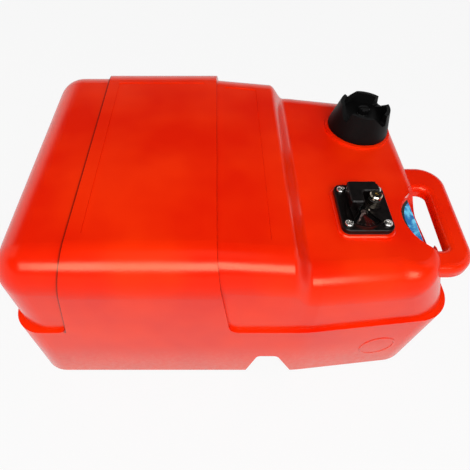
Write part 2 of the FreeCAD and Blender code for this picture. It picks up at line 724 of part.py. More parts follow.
def vent_screw():
    """Thumb screw that opens the air vent: fluted knob with a slot, plain shank."""
    low = plate_top() + VENT_WASHER_THICK
    high = low + VENT_KNOB_HEIGHT
    knob = turned([
        (0, plate_top() - 10), (VENT_SHANK_R, plate_top() - 10), (VENT_SHANK_R, low),
        (VENT_KNOB_R, low), (VENT_KNOB_R, high - 1), (VENT_KNOB_R - 1, high), (0, high),
    ])
    flutes = []
    for i in range(8):
        flute = rod(VENT_KNOB_R + GAP, 0, low - 1, high + 1, VENT_FLUTE_R)
        flute.rotate(V(0, 0, 0), Z_AXIS, i * 45)
        flutes.append(flute)
    width, depth = VENT_SLOT
    slot_cut = block((-VENT_KNOB_R, VENT_KNOB_R), (-width / 2, width / 2), (high - depth, high + 1))
    return on_neck(knob.cut(flutes + [slot_cut]))


# ================================================================ pick-up head
def flange_plate(z_range, grow=0.0):
    """Rectangular flange outline as a plate."""
    x, y = FLANGE_X / 2 + grow, FLANGE_Y / 2 + grow
    return plate((HEAD_X - x, HEAD_X + x), (HEAD_Y - y, HEAD_Y + y), z_range, FLANGE_R)


def head_gasket():
    """Rubber gasket between the deck's pad and the flange."""
    sheet = flange_plate((PAD_Z, FLANGE_Z), -GAP)
    holes = [rod(x, y, PAD_Z - 1, FLANGE_Z + 1, SCREW_SHANK_R + SCREW_ROOM) for x, y in screw_places()]
    return sheet.cut(holes + [rod(HEAD_X, HEAD_Y, PAD_Z - 1, FLANGE_Z + 1, MOUTH_R)])


def sector(z_range, grow):
    """Gauge window outline: a pie slice round the pivot, opening to the front."""
    z0, z1 = z_range
    half = math.radians(GAUGE_HALF_DEG)
    apex_y = PIVOT_Y + (grow + GAUGE_SIDE_ROOM) / math.sin(half)
    reach = 60.0
    corners = [
        V(PIVOT_X, apex_y, z0),
        V(PIVOT_X - reach * math.sin(half), apex_y - reach * math.cos(half), z0),
        V(PIVOT_X + reach * math.sin(half), apex_y - reach * math.cos(half), z0),
    ]
    slice_ = prism(Part.makePolygon(corners + corners[:1]), V(0, 0, z1 - z0))
    slice_ = slice_.common(rod(PIVOT_X, PIVOT_Y, z0, z1, GAUGE_R + grow))
    return slice_.fuse(rod(PIVOT_X, PIVOT_Y, z0, z1, HUB_R + grow)).removeSplitter()


def turret():
    """L-shaped tower behind the gauge and round the outlet."""
    x0, x1, x2 = TURRET_X
    y0, y1, y2 = TURRET_Y
    low = FLANGE_TOP - 1
    corners = [V(x0, y0, low), V(x1, y0, low), V(x1, y1, low), V(x2, y1, low), V(x2, y2, low), V(x0, y2, low)]
    tower = prism(rounded_wire(corners, [3, 2.5, 3, 2.5, 4, 4]), V(0, 0, TURRET_TOP - low))
    rim = [e for e in tower.Edges if e.BoundBox.ZMin > TURRET_TOP - 0.1]
    return tower.makeChamfer(1.2, rim)


def side_rib():
    """Raised A-shaped stiffening rib on the flange beside the gauge."""
    low = FLANGE_TOP - 1
    front, back = RIB_Y
    wide, narrow = RIB_HALF
    corners = [
        V(RIB_X - wide, front, low),
        V(RIB_X + wide, front, low),
        V(RIB_X + narrow, back, low),
        V(RIB_X - narrow, back, low),
    ]
    outer = prism(rounded_wire(corners, [1.5, 1.5, 1.2, 1.2]), V(0, 0, RIB_TOP - low))
    wide, narrow = wide - RIB_WALL, narrow - RIB_WALL / 2
    inner = [
        V(RIB_X - wide, front - 3, low),
        V(RIB_X + wide, front - 3, low),
        V(RIB_X + narrow, back - 5, low),
        V(RIB_X - narrow, back - 5, low),
    ]
    return outer.cut(prism(Part.makePolygon(inner + inner[:1]), V(0, 0, RIB_TOP)))


def head_housing():
    """Moulded head: flange, spigot into the tank, gauge chamber, turret and outlet boss."""
    flange = flange_plate((FLANGE_Z, FLANGE_TOP))
    rim = [e for e in flange.Edges if e.BoundBox.ZMin > FLANGE_TOP - 0.1]
    flange = flange.makeChamfer(0.8, rim)
    spigot = rod(HEAD_X, HEAD_Y, SPIGOT_BOTTOM, FLANGE_Z + 1, MOUTH_R - GAP)
    chamber = sector((FLANGE_TOP - 1, GAUGE_TOP), GAUGE_WALL)
    stub = rod(OUTLET_X, OUTLET_Y, FLANGE_TOP - 1, STUB_TOP, STUB_R)
    body = fuse_all([flange, spigot, chamber, stub, turret(), side_rib()])
    cuts = [rod(x, y, FLANGE_Z - 1, FLANGE_TOP + 2, SCREW_SHANK_R + SCREW_ROOM) for x, y in screw_places()]
    cuts += [rod(x, y, FLANGE_TOP, TURRET_TOP + 1, SCREW_HEAD_R + GAP) for x, y in screw_places()]
    cuts.append(sector((DIAL_Z, GAUGE_TOP + 1), 0.0))
    cuts.append(sector((GAUGE_TOP - LENS_THICK, GAUGE_TOP + 1), LENS_LEDGE))
    cuts.append(rod(PIVOT_X, PIVOT_Y, SPIGOT_BOTTOM - 1, GAUGE_TOP, SPINDLE_BORE_R))
    cuts.append(rod(OUTLET_X, OUTLET_Y, SPIGOT_BOTTOM - 1, FLANGE_Z - 1.6, TUBE_R))
    cuts.append(rod(OUTLET_X, OUTLET_Y, SPIGOT_BOTTOM, FLANGE_Z + 1, TUBE_BORE_R))
    cuts.append(rod(OUTLET_X, OUTLET_Y, FLANGE_Z, STUB_TOP + 1, TUBE_R))
    return body.cut(cuts)


def gauge_dial():
    """Printed dial plate on the chamber's floor."""
    printed = sector((DIAL_Z, DIAL_Z + DIAL_THICK), -SCREW_ROOM)
    return printed.cut(rod(PIVOT_X, PIVOT_Y, DIAL_Z - 1, DIAL_Z + 1, SPINDLE_R + GAP))


def gauge_lens():
    """Clear window let into the chamber's rim."""
    return sector((GAUGE_TOP - LENS_THICK, GAUGE_TOP), LENS_LEDGE - TURN_PLAY)


def gauge_pointer():
    """Needle with a round hub, at the empty end of its sweep."""
    low = FLANGE_TOP + GAP
    level = low + GAP
    hub = rod(PIVOT_X, PIVOT_Y, low, low + 2.2, 2.8)
    tip = PIVOT_Y - GAUGE_R + 2.0
    wide, narrow = NEEDLE_HALF
    corners = [
        V(PIVOT_X - wide, PIVOT_Y + NEEDLE_TAIL, level),
        V(PIVOT_X - wide, PIVOT_Y, level),
        V(PIVOT_X - narrow, tip, level),
        V(PIVOT_X + narrow, tip, level),
        V(PIVOT_X + wide, PIVOT_Y, level),
        V(PIVOT_X + wide, PIVOT_Y + NEEDLE_TAIL, level),
    ]
    needle = prism(Part.makePolygon(corners + corners[:1]), V(0, 0, NEEDLE_THICK))
    pointer = fuse_all([hub, needle]).cut(rod(PIVOT_X, PIVOT_Y, low - 1, low + 1.6, SPINDLE_R))
    pointer.rotate(V(PIVOT_X, PIVOT_Y, 0), Z_AXIS, -POINTER_SWEEP_DEG / 2)
    return pointer


def twist_per_mm():
    """Degrees that the strip twists per millimetre, so that the float's travel sweeps the pointer."""
    return POINTER_SWEEP_DEG / FLOAT_TRAVEL


def guide_height():
    """Middle height of the float's slotted guide at rest."""
    return FLOAT_REST_Z + FLOAT_HEIGHT + GUIDE_THICK / 2


def twist_strip():
    """Twisted metal strip between two round pivots; the float's slot makes it turn."""
    low, high = FOOT_TOP + 1.0, SPIGOT_BOTTOM - GAP
    count = 9
    sections = []
    for i in range(count):
        z = low + (high - low) * i / (count - 1)
        angle = -twist_per_mm() * (z - guide_height())
        half_w, half_t = STRIP_WIDTH / 2, STRIP_THICK / 2
        corners = [V(-half_w, -half_t, z), V(half_w, -half_t, z), V(half_w, half_t, z), V(-half_w, half_t, z)]
        section = Part.makePolygon(corners + corners[:1])
        section.rotate(V(0, 0, 0), Z_AXIS, angle)
        section.translate(V(PIVOT_X, PIVOT_Y, 0))
        sections.append(section)
    ribbon = Part.makeLoft(sections, True, True)
    foot, collar = FOOT_TOP - FOOT_THICK + GAP, STRIP_WIDTH / 2 + 0.1
    lower = turned([(0, foot), (LOWER_PIVOT_R, foot), (LOWER_PIVOT_R, FOOT_TOP),
                    (collar, FOOT_TOP), (collar, low + GAP), (0, low + GAP)])
    lower.translate(V(PIVOT_X, PIVOT_Y, 0))
    upper = rod(PIVOT_X, PIVOT_Y, high - 1, FLANGE_TOP + 2.2, SPINDLE_R)
    return ribbon.fuse([lower, upper])


def fuel_float():
    """Foam float sliding on the pick-up tube, clear of the strip."""
    z0, z1 = FLOAT_REST_Z, FLOAT_REST_Z + FLOAT_HEIGHT
    body = rod(FLOAT_X, FLOAT_Y, z0, z1, FLOAT_R)
    tube_hole = rod(OUTLET_X, OUTLET_Y, z0 - 1, z1 + 1, TUBE_R + GAP)
    strip_hole = rod(PIVOT_X, PIVOT_Y, z0 - 1, z1 + 1, STRIP_WIDTH / 2 + 1)
    return body.cut([tube_hole, strip_hole])


def float_guide():
    """Disc on the float: a close hole for the tube and the slot that turns the strip."""
    z0 = FLOAT_REST_Z + FLOAT_HEIGHT
    z1 = z0 + GUIDE_THICK
    disc = rod(FLOAT_X, FLOAT_Y, z0, z1, FLOAT_R - 1.8)
    half_w, half_t = STRIP_WIDTH / 2 + STRIP_PLAY, STRIP_THICK / 2 + STRIP_PLAY
    slit = block((PIVOT_X - half_w, PIVOT_X + half_w), (PIVOT_Y - half_t, PIVOT_Y + half_t), (z0 - 1, z1 + 1))
    return disc.cut([slit, rod(OUTLET_X, OUTLET_Y, z0 - 1, z1 + 1, TUBE_R + GUIDE_FIT)])


def guide_foot():
    """Bracket on the tube that carries the strip's lower pivot and stops the float."""
    z0, z1 = FOOT_TOP - FOOT_THICK, FOOT_TOP
    along = V(PIVOT_X - OUTLET_X, PIVOT_Y - OUTLET_Y, 0)
    across = Z_AXIS.cross(along).normalize() * 2.6
    at_tube, at_pivot = V(OUTLET_X, OUTLET_Y, z0), V(PIVOT_X, PIVOT_Y, z0)
    corners = [at_tube - across, at_pivot - across, at_pivot + across, at_tube + across]
    arm = prism(Part.makePolygon(corners + corners[:1]), V(0, 0, FOOT_THICK))
    ring = rod(OUTLET_X, OUTLET_Y, z0, z1, TUBE_R + 3.0)
    boss = rod(PIVOT_X, PIVOT_Y, z0, z1, 3.6)
    return fuse_all([ring, arm, boss]).cut([
        rod(OUTLET_X, OUTLET_Y, z0 - 1, z1 + 1, TUBE_R),
        rod(PIVOT_X, PIVOT_Y, z0 - 1, z1 + 1, LOWER_BORE_R),
    ])


def pickup_tube():
    """Dip tube from the head's spigot to just above the floor."""
    return pipe(OUTLET_X, OUTLET_Y, TUBE_BOTTOM, FLANGE_Z - 1.6, TUBE_R, TUBE_BORE_R)


def pickup_strainer():
    """Slotted cup on the tube's foot that keeps dirt out."""
    outer = TUBE_R + 3.0
    bottom, floor = STRAINER_FLOOR
    cup = rod(0, 0, bottom, TUBE_BOTTOM + 6, outer)
    hollow = rod(0, 0, floor, TUBE_BOTTOM, outer - STRAINER_WALL)
    cup = cup.cut([hollow, rod(0, 0, TUBE_BOTTOM - 1, TUBE_BOTTOM + 7, TUBE_R)])
    slits = []
    for i in range(3):
        slit = block((-outer - 1, outer + 1), (-STRAINER_SLIT / 2, STRAINER_SLIT / 2), (floor, TUBE_BOTTOM - 1))
        slit.rotate(V(0, 0, 0), Z_AXIS, i * 60)
        slits.append(slit)
    cup = cup.cut(slits)
    cup.translate(V(OUTLET_X, OUTLET_Y, 0))
    return cup


def outlet_nipple():
    """Metal outlet for the hose coupling, with a valve chamber and an O-ring groove."""
    low = FLANGE_Z + 0.4
    groove_low, groove_high, depth = GROOVE
    below, above = OUTLET_BORE_R
    body = turned([
        (below, low), (TUBE_R, low), (TUBE_R, STUB_TOP), (OUTLET_R, STUB_TOP),
        (OUTLET_R, groove_low), (OUTLET_R - depth, groove_low),
        (OUTLET_R - depth, groove_high), (OUTLET_R, groove_high),
        (OUTLET_R, OUTLET_TOP - 1), (OUTLET_R - 1, OUTLET_TOP), (above, OUTLET_TOP),
        (above, VALVE_SEAT), (VALVE_CHAMBER_R, VALVE_SEAT),
        (VALVE_CHAMBER_R, SPRING_LEDGE), (below, SPRING_LEDGE),
    ])
    body.translate(V(OUTLET_X, OUTLET_Y, 0))
    return body


def outlet_o_ring():
    """O-ring in the nipple's groove, its round section drawn with six sides."""
    middle_r, middle_z = OUTLET_R - O_RING_R, (GROOVE[0] + GROOVE[1]) / 2
    section = []
    for i in range(6):
        angle = math.radians(60 * i)
        section.append((middle_r + O_RING_R * math.cos(angle), middle_z + O_RING_R * math.sin(angle)))
    ring = turned(section)
    ring.translate(V(OUTLET_X, OUTLET_Y, 0))
    return ring


def valve_pin():
    """Check pin: the coupling pushes it down to open the outlet."""
    tail, disc, tip = PIN_R
    bottom, ledge, top = VALVE_SEAT - 11, VALVE_SEAT - PIN_DISC, OUTLET_TOP - GAP
    body = turned([(0, bottom), (tail, bottom), (tail, ledge), (disc, ledge),
                   (disc, VALVE_SEAT), (tip, VALVE_SEAT), (tip, top), (0, top)])
    body.translate(V(OUTLET_X, OUTLET_Y, 0))
    return body


def valve_spring():
    """Coil that holds the check pin shut, its wire drawn with four sides."""
    wire_r, coil_r, turns, stations = 0.34, 2.1, 4, 12
    low, high = SPRING_LEDGE + wire_r, VALVE_SEAT - PIN_DISC - wire_r
    sections = []
    for i in range(turns * stations + 1):
        z = low + (high - low) * i / (turns * stations)
        corners = [
            V(coil_r + wire_r, 0, z),
            V(coil_r, 0, z + wire_r),
            V(coil_r - wire_r, 0, z),
            V(coil_r, 0, z - wire_r),
        ]
        section = Part.makePolygon(corners + corners[:1])
        section.rotate(V(0, 0, 0), Z_AXIS, i * 360 / stations)
        sections.append(section)
    coil = Part.makeLoft(sections, True, True)
    coil.translate(V(OUTLET_X, OUTLET_Y, 0))
    return coil


def head_screws():
    """Four pan-head screws."""
    seat = FLANGE_TOP
    top = seat + SCREW_HEAD_H
    screws = []
    for x, y in screw_places():
        shank = many_sided(x, y, seat - SCREW_LENGTH, seat + 1, SCREW_SHANK_R - THREAD_FIT, 8)
        head = Part.makeCone(SCREW_HEAD_R, SCREW_HEAD_R - 1.1, top - seat, V(x, y, seat))
        screws.append(shank.fuse(head).removeSplitter())
    return Part.makeCompound(screws)


def screw_inserts():
    """Four blind brass inserts moulded into the deck's bosses."""
    low = PAD_Z - INSERT_LENGTH
    inserts = []
    for x, y in screw_places():
        bush = many_sided(x, y, low, PAD_Z, INSERT_R, 6)
        bush = bush.cut(rod(x, y, low + 1.6, PAD_Z + 1, SCREW_SHANK_R))
        inserts.append(bush)
    return Part.makeCompound(inserts)


# ================================================================ files
PIECES = [
    tank_body, recess_label, screw_inserts,
    filler_cap, cap_gasket, seal_disc, vent_washer, vent_screw,
    head_housing, head_gasket, head_screws,
    gauge_dial, gauge_lens, gauge_pointer, twist_strip,
    fuel_float, float_guide, guide_foot, pickup_tube, pickup_strainer,
    outlet_nipple, outlet_o_ring, valve_pin, valve_spring,
]

os.makedirs("parts", exist_ok=True)
for make_piece in PIECES:
    save(make_piece.__name__, make_piece())
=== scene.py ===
import json
import math
import bmesh
import bpy
import numpy as np
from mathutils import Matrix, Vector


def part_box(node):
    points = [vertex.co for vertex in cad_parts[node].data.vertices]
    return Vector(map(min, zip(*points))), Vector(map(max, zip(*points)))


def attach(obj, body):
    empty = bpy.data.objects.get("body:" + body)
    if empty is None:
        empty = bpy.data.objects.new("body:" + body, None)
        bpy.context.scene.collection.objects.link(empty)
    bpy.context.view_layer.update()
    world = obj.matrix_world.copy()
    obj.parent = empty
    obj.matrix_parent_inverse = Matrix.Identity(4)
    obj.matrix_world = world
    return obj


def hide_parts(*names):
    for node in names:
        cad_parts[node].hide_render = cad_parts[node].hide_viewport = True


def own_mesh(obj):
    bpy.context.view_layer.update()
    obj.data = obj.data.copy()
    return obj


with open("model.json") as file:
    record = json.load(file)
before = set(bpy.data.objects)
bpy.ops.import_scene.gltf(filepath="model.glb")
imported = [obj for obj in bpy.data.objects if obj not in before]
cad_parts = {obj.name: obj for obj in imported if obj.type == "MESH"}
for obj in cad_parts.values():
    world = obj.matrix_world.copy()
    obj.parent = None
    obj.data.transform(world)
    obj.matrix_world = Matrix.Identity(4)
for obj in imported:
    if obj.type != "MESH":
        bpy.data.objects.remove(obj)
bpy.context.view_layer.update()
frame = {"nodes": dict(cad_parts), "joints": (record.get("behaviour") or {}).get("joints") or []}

nodes = frame["nodes"]


# ================================================================ tank
# The tank is one hollow blow moulding of red high-density polyethylene, handle and
# filler neck included.  The mould leaves a satin skin that is never quite flat or
# quite even in gloss, with a fine orange peel over it.
def linear(hex_code):
    """sRGB hex to linear: c / 12.92 up to 0.04045, above that ((c + 0.055) / 1.055) ** 2.4."""
    c = np.array([int(hex_code[i:i + 2], 16) for i in (1, 3, 5)]) / 255
    c = np.where(c <= 0.04045, c / 12.92, ((c + 0.055) / 1.055) ** 2.4)
    return (*c.tolist(), 1.0)


def add(tree, kind, settings=None, links=None):
    """Adds a node: settings are its properties or its sockets' own values, links feed its inputs."""
    made = tree.nodes.new(kind)
    for key, value in (settings or {}).items():
        if isinstance(key, str) and hasattr(made, key):
            setattr(made, key, value)
        else:
            made.inputs[key].default_value = value
    for key, socket in (links or {}).items():
        tree.links.new(socket, made.inputs[key])
    return made


def start_material(name, **shader):
    """A material with a Principled shader at its output, and the object's own coordinates."""
    material = bpy.data.materials.new(name)
    material.use_nodes = True
    tree = material.node_tree
    tree.nodes.clear()
    inputs = {key.replace("_", " "): value for key, value in shader.items()}
    surface = add(tree, "ShaderNodeBsdfPrincipled", inputs)
    add(tree, "ShaderNodeOutputMaterial", links={"Surface": surface.outputs["BSDF"]})
    return material, tree, surface, add(tree, "ShaderNodeTexCoord").outputs["Object"]


# Polyethylene, IOR 1.54, moulded satin.  The slow noise, one wave in 80 mm, is the sunk
# and raised skin of a blow moulding, which breaks up long highlights.  The fine one is
# its orange peel, drawn at 2 mm, a little coarser than real, so that it shows.  Towards
# the floor the walls turn paler, in ragged patches.
PALER_FROM, PALER_TO = 0.085, -0.01    # heights where the paling starts and would be whole
red_polyethylene, tree, surface, place = start_material(
    "red_moulded_polyethylene", IOR=1.54, Specular_IOR_Level=0.4, Specular_Tint=linear("#FFD2A8"))
slow = add(tree, "ShaderNodeTexNoise", {"Scale": 12.5, "Detail": 2.0}, {"Vector": place})
peel = add(tree, "ShaderNodeTexNoise", {"Scale": 500.0, "Detail": 1.5}, {"Vector": place})
share = add(tree, "ShaderNodeMapRange", {"From Min": 0.35, "From Max": 0.65},
            {"Value": slow.outputs["Fac"]})
tint = add(tree, "ShaderNodeMix", {"data_type": "RGBA", 6: linear("#E41B00"), 7: linear("#F02A00")},
           {0: share.outputs["Result"]})
spot = add(tree, "ShaderNodeSeparateXYZ", links={"Vector": place})
height = spot.outputs["Z"]
blotch_noise = add(tree, "ShaderNodeTexNoise", {"Scale": 160.0, "Detail": 6.0, "Roughness": 0.7},
            {"Vector": place})
low_down = add(tree, "ShaderNodeMapRange", {"From Min": PALER_FROM, "From Max": PALER_TO,
                                            "interpolation_type": "SMOOTHSTEP"}, {"Value": height})
paler_share = add(tree, "ShaderNodeMath", {"operation": "MULTIPLY"},
             {0: low_down.outputs["Result"], 1: blotch_noise.outputs["Fac"]})
# The walls turn paler towards the floor, in ragged patches of pale pink.
paled = add(tree, "ShaderNodeMix", {"data_type": "RGBA", 7: linear("#E08C80")},
           {0: paler_share.outputs[0], 6: tint.outputs[2]})
# Painted shade lies in the corner under the saddle band's left edge: a dark red line 3 mm wide
# that fades out leftwards and ends at the ledge.  The edge leans: it stands at BAND_EDGE on
# the band's top, and BAND_LEAN further out for each metre down.
BAND_EDGE, BAND_LEAN = -0.16825, 0.1727
BAND_TOP, LEDGE_TOP = 0.219, 0.109
SHADE_WIDE, SHADE_FULL = -0.0032, -0.0006    # where the painted shade starts and where it is whole
SHADE_END = 0.0002                          # just inside the edge
lean = add(tree, "ShaderNodeMath",
           {"operation": "MULTIPLY_ADD", 1: BAND_LEAN, 2: BAND_EDGE - BAND_LEAN * BAND_TOP}, {0: height})
past_edge = add(tree, "ShaderNodeMath", {"operation": "SUBTRACT"},
                {0: spot.outputs["X"], 1: lean.outputs[0]})
from_left = add(tree, "ShaderNodeMapRange", {"From Min": SHADE_WIDE, "From Max": SHADE_FULL},
                {"Value": past_edge.outputs[0]})
off_band = add(tree, "ShaderNodeMath", {"operation": "LESS_THAN", 1: SHADE_END}, {0: past_edge.outputs[0]})
above_ledge = add(tree, "ShaderNodeMath", {"operation": "GREATER_THAN", 1: LEDGE_TOP}, {0: height})
shade_line = add(tree, "ShaderNodeMath", {"operation": "MULTIPLY"},
           {0: from_left.outputs["Result"], 1: off_band.outputs[0]})
shade_mask = add(tree, "ShaderNodeMath", {"operation": "MULTIPLY"},
            {0: shade_line.outputs[0], 1: above_ledge.outputs[0]})
# Painted shade: dark red laid into the colour along the band's left edge.
painted_shade = add(tree, "ShaderNodeMix", {"data_type": "RGBA", 7: linear("#7A1206")},
            {0: shade_mask.outputs[0], 6: paled.outputs[2]})
gloss = add(tree, "ShaderNodeMapRange", {"To Min": 0.20, "To Max": 0.265},
            {"Value": share.outputs["Result"]})
waves = add(tree, "ShaderNodeBump", {"Strength": 0.18, "Distance": 0.004},
            {"Height": slow.outputs["Fac"]})
skin = add(tree, "ShaderNodeBump", {"Strength": 0.12, "Distance": 0.0003},
           {"Height": peel.outputs["Fac"], "Normal": waves.outputs["Normal"]})
tree.links.new(painted_shade.outputs[2], surface.inputs["Base Color"])
tree.links.new(gloss.outputs["Result"], surface.inputs["Roughness"])
tree.links.new(skin.outputs["Normal"], surface.inputs["Normal"])


def dress(material, *names):
    """Gives CAD nodes their material."""
    for name in names:
        nodes[name].data.materials.clear()
        nodes[name].data.materials.append(material)


dress(red_polyethylene, "tank_body")


# ---------------------------------------------------------------- moulded ring
# A round ridge on the front wall, moulded with the tank, frames the bare disc where
# the mould's insert sits.
def surface_piece(name, grid, material, body, wrap=(False, False), caps=False):
    """Makes a mesh of a grid of points (u, v, xyz).

    Each square of neighbours is a face.  wrap joins the last row or column to the
    first, and caps closes the first and last row with one face each."""
    rows, columns = grid.shape[:2]
    index = np.arange(rows * columns).reshape(rows, columns)
    if wrap[0]:
        index = np.vstack([index, index[:1]])
    if wrap[1]:
        index = np.hstack([index, index[:, :1]])
    quads = np.stack([index[:-1, :-1], index[1:, :-1], index[1:, 1:], index[:-1, 1:]], -1).reshape(-1, 4)
    faces = quads.tolist()
    if caps:
        faces += [index[0, :columns].tolist(), index[-1, :columns][::-1].tolist()]
    mesh = bpy.data.meshes.new(name)
    mesh.from_pydata(grid.reshape(-1, 3).tolist(), [], faces)
    mesh.materials.append(material)
    mesh.shade_smooth()
    piece = bpy.data.objects.new(name, mesh)
    bpy.context.scene.collection.objects.link(piece)
    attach(piece, body)
    return piece


TAPER = math.radians(6.4)           # the front wall draws in from here to the right
TAPER_START = np.array([0.070, -0.175])
RING_X, RING_Z = 0.16275, 0.054
RING_RADIUS = 0.020
RING_RIDGE = 0.0012
RING_FLAT = 0.55                    # how far the ridge stands off, as a share of RING_RIDGE

wall_along = np.array([math.cos(TAPER), math.sin(TAPER), 0.0])
wall_out = np.array([math.sin(TAPER), -math.cos(TAPER), 0.0])
ring_centre = np.array([RING_X, TAPER_START[1] + (RING_X - TAPER_START[0]) * math.tan(TAPER), RING_Z])
round_it = np.linspace(0, 2 * math.pi, 96, endpoint=False)[:, None]
section = np.linspace(0, 2 * math.pi, 12, endpoint=False)[None, :]
# Torus: at angle a round the wall's normal and b round the ridge, the point stands
# radius + ridge x cos b from the centre and RING_FLAT x ridge x sin b off the wall.
reach = (RING_RADIUS + RING_RIDGE * np.cos(section) + 0 * round_it)[..., None]
off = (RING_FLAT * RING_RIDGE * np.sin(section) + 0 * round_it)[..., None]
ring_points = ring_centre + reach * (np.cos(round_it)[..., None] * wall_along
                                     + np.sin(round_it)[..., None] * [0.0, 0.0, 1.0]) + off * wall_out
surface_piece("moulded_ring", ring_points, red_polyethylene, "tank", wrap=(True, True))


# ---------------------------------------------------------------- neck thread
# The neck carries a right-handed ridge of two turns, five millimetres a turn, blown in
# the mould with it.  It stops short of the cap's bore.
cap_joint = next(joint for joint in frame["joints"] if joint["name"] == "cap_turn")
AXIS = np.array(cap_joint["axis"])
SEAL_HEIGHT = 0.0205                # the cap's seat over the deck, along the neck's axis
DECK_POINT = np.array(cap_joint["pos_m"]) - AXIS * SEAL_HEIGHT
ACROSS = np.cross([0.0, 1.0, 0.0], AXIS)
NECK_R, SKIRT_R = 0.0310, 0.0324
LEAD = 0.005
RIDGE = 0.0010
THREAD_LOW = 0.0048                 # where the neck's thread starts over the deck


def neck_ridge(root_radius, side, low, turns):
    """Ridge wound on the neck's axis: at angle a its middle is low + LEAD x a / 360 up.

    Its section is a trapezium that starts inside the wall at root_radius and stands
    RIDGE out of it, to the outside for side 1 and to the inside for side -1.  Over the
    first and last 30 degrees it rises from nothing."""
    angle = np.linspace(0, 2 * math.pi * turns, int(90 * turns))[:, None]
    rise = np.clip(np.minimum(angle, 2 * math.pi * turns - angle) / math.radians(30), 0.0, 1.0)
    out = np.array([-0.3, 1.0, 1.0, -0.3])
    up = np.array([-0.0009, -0.0004, 0.0004, 0.0009])
    radius = root_radius + side * RIDGE * (np.minimum(out, 0) + np.maximum(out, 0) * rise)
    height = low + LEAD * angle / (2 * math.pi) + up
    ring = np.cos(angle)[..., None] * ACROSS + np.sin(angle)[..., None] * [0.0, 1.0, 0.0]
    grid = DECK_POINT + radius[..., None] * ring + height[..., None] * AXIS
    return grid if side > 0 else grid[:, ::-1]


surface_piece("neck_thread", neck_ridge(NECK_R, 1, THREAD_LOW, 2), red_polyethylene, "tank",
              wrap=(False, True), caps=True)


# ================================================================ filler cap
# The cap is injection moulded in black polypropylene, with four saw-tooth lugs to
# turn it by.  Its mould is spark-eroded, which leaves a fine, dry grain.
# Polypropylene, IOR 1.49.  The grain is drawn at 0.5 mm; handled edges are glossier,
# which the slow noise stands for.
black_polypropylene, tree, surface, place = start_material(
    "black_moulded_polypropylene", IOR=1.49, Specular_IOR_Level=0.12)
slow = add(tree, "ShaderNodeTexNoise", {"Scale": 45.0, "Detail": 3.0}, {"Vector": place})
grain = add(tree, "ShaderNodeTexNoise", {"Scale": 2000.0, "Detail": 1.0}, {"Vector": place})
tint = add(tree, "ShaderNodeMix", {"data_type": "RGBA", 6: linear("#030303"), 7: linear("#090808")},
           {0: slow.outputs["Fac"]})
gloss = add(tree, "ShaderNodeMapRange", {"From Min": 0.3, "From Max": 0.7, "To Min": 0.44, "To Max": 0.56},
            {"Value": slow.outputs["Fac"]})
skin = add(tree, "ShaderNodeBump", {"Strength": 0.25, "Distance": 0.0001},
           {"Height": grain.outputs["Fac"]})
tree.links.new(tint.outputs[2], surface.inputs["Base Color"])
tree.links.new(gloss.outputs["Result"], surface.inputs["Roughness"])
tree.links.new(skin.outputs["Normal"], surface.inputs["Normal"])
dress(black_polypropylene, "filler_cap", "vent_screw")

# Screwed tight, the crown stands so that one gap faces the middle of the carry handle,
# 11 degrees further clockwise, seen from above, than on the CAD cap.  The piece is the
# CAD cap's own mesh, its doubles merged, turned by CAP_TURN round the neck's axis.
CAP_TURN = math.radians(-11)
shell = bmesh.new()
shell.from_mesh(nodes["filler_cap"].data)
bmesh.ops.remove_doubles(shell, verts=shell.verts, dist=1e-6)
cap_mesh = bpy.data.meshes.new("crown_cap")
shell.to_mesh(cap_mesh)
shell.free()
if "custom_normal" in cap_mesh.attributes:
    cap_mesh.attributes.remove(cap_mesh.attributes["custom_normal"])
points = np.empty(3 * len(cap_mesh.vertices))
cap_mesh.vertices.foreach_get("co", points)
arms = points.reshape(-1, 3) - DECK_POINT
# Turning by an angle: arm x cos + (axis x arm) x sin + the part along the axis x (1 - cos).
turned = (arms * math.cos(CAP_TURN) + np.cross(AXIS, arms) * math.sin(CAP_TURN)
          + (arms @ AXIS)[:, None] * AXIS * (1 - math.cos(CAP_TURN)))
cap_mesh.vertices.foreach_set("co", (turned + DECK_POINT).ravel())
cap_mesh.shade_smooth()
cap_mesh.set_sharp_from_angle(angle=math.radians(32))
cap_mesh.materials.clear()
cap_mesh.materials.append(black_polypropylene)
crown_cap = bpy.data.objects.new("crown_cap", cap_mesh)
bpy.context.scene.collection.objects.link(crown_cap)
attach(crown_cap, "cap")
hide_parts("filler_cap")

# The cap's own thread runs between the neck's turns, half a pitch away from them.
surface_piece("cap_thread", neck_ridge(SKIRT_R, -1, THREAD_LOW + LEAD / 2, 1.9), black_polypropylene,
              "cap", wrap=(False, True), caps=True)


# ---------------------------------------------------------------- cap seal and vent washer
# A die-cut ring of nitrile rubber seals on the neck's rim and a small one under the
# vent screw.  A disc of natural polyethylene lies between ring and cap.
# Nitrile rubber, IOR 1.52, cut from sheet: dull, with the faint mottle of its talc.
nitrile, tree, surface, place = start_material("black_nitrile_rubber", IOR=1.52)
talc = add(tree, "ShaderNodeTexNoise", {"Scale": 260.0, "Detail": 4.0}, {"Vector": place})
tint = add(tree, "ShaderNodeMix", {"data_type": "RGBA", 6: linear("#141414"), 7: linear("#262524")},
           {0: talc.outputs["Fac"]})
gloss = add(tree, "ShaderNodeMapRange", {"To Min": 0.62, "To Max": 0.78}, {"Value": talc.outputs["Fac"]})
skin = add(tree, "ShaderNodeBump", {"Strength": 0.2, "Distance": 0.0001}, {"Height": talc.outputs["Fac"]})
tree.links.new(tint.outputs[2], surface.inputs["Base Color"])
tree.links.new(gloss.outputs["Result"], surface.inputs["Roughness"])
tree.links.new(skin.outputs["Normal"], surface.inputs["Normal"])
dress(nitrile, "cap_gasket", "vent_washer", "head_gasket", "outlet_o_ring")

